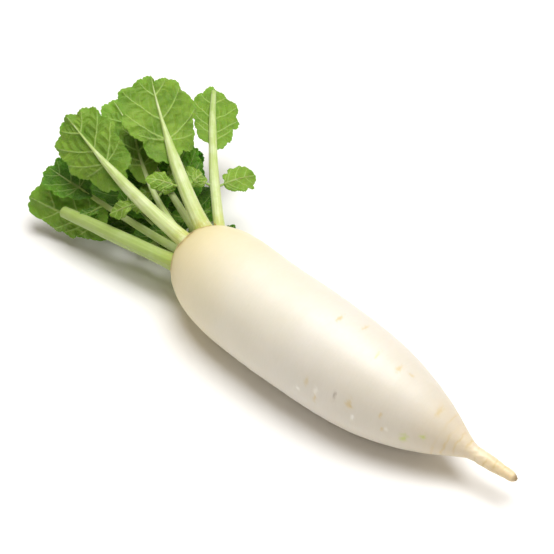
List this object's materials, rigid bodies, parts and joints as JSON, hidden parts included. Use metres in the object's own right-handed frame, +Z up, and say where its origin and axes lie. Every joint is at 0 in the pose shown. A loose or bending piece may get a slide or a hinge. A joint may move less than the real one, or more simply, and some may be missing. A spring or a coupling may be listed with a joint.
{
  "type": "daikon radish",
  "caption": "Whole daikon radish lying on its side: a long cream-white root with a thin tail and a trimmed top of lobed green leaves on pale stalks.",
  "frame": {"origin": "in the middle of the flat strip under the root that rests on the table", "axes": "+X runs along the root from the crown to the tip of the tail, +Z is up, +Y is to the left of the tail"},
  "size_m": [0.4282, 0.1656, 0.1146],
  "materials": {
    "root_skin": "satin fresh skin",
    "leaf_stalk": "satin ribbed skin",
    "leaf_blade": "soft matte leaf"
  },
  "bodies": {
    "root": {"back_blade": "leaf_blade", "back_leaflet_1": "leaf_blade", "back_leaflet_2": "leaf_blade", "back_stalk": "leaf_stalk", "front_cut_stalk": "leaf_stalk", "front_low_blade": "leaf_blade", "front_low_stalk": "leaf_stalk", "inner_left_blade": "leaf_blade", "inner_left_leaflet_1": "leaf_blade", "inner_left_leaflet_2": "leaf_blade", "inner_left_stalk": "leaf_stalk", "inner_middle_blade": "leaf_blade", "inner_middle_leaflet_1": "leaf_blade", "inner_middle_stalk": "leaf_stalk", "inner_right_blade": "leaf_blade", "inner_right_leaflet_1": "leaf_blade", "inner_right_leaflet_2": "leaf_blade", "inner_right_stalk": "leaf_stalk", "low_left_blade": "leaf_blade", "low_left_leaflet_1": "leaf_blade", "low_left_stalk": "leaf_stalk", "low_middle_blade": "leaf_blade", "low_middle_leaflet_1": "leaf_blade", "low_middle_leaflet_2": "leaf_blade", "low_middle_stalk": "leaf_stalk", "low_right_blade": "leaf_blade", "low_right_leaflet_1": "leaf_blade", "low_right_stalk": "leaf_stalk", "mid_left_blade": "leaf_blade", "mid_left_leaflet_1": "leaf_blade", "mid_left_leaflet_2": "leaf_blade", "mid_left_stalk": "leaf_stalk", "mid_right_blade": "leaf_blade", "mid_right_leaflet_1": "leaf_blade", "mid_right_leaflet_2": "leaf_blade", "mid_right_stalk": "leaf_stalk", "middle_blade": "leaf_blade", "middle_leaflet_1": "leaf_blade", "middle_leaflet_2": "leaf_blade", "middle_stalk": "leaf_stalk", "right_blade": "leaf_blade", "right_leaflet_1": "leaf_blade", "right_leaflet_2": "leaf_blade", "right_stalk": "leaf_stalk", "taproot": "root_skin", "top_blade": "leaf_blade", "top_leaflet_1": "leaf_blade", "top_leaflet_2": "leaf_blade", "top_stalk": "leaf_stalk", "upper_left_blade": "leaf_blade", "upper_left_leaflet_1": "leaf_blade", "upper_left_stalk": "leaf_stalk"}
  },
  "joints": []
}
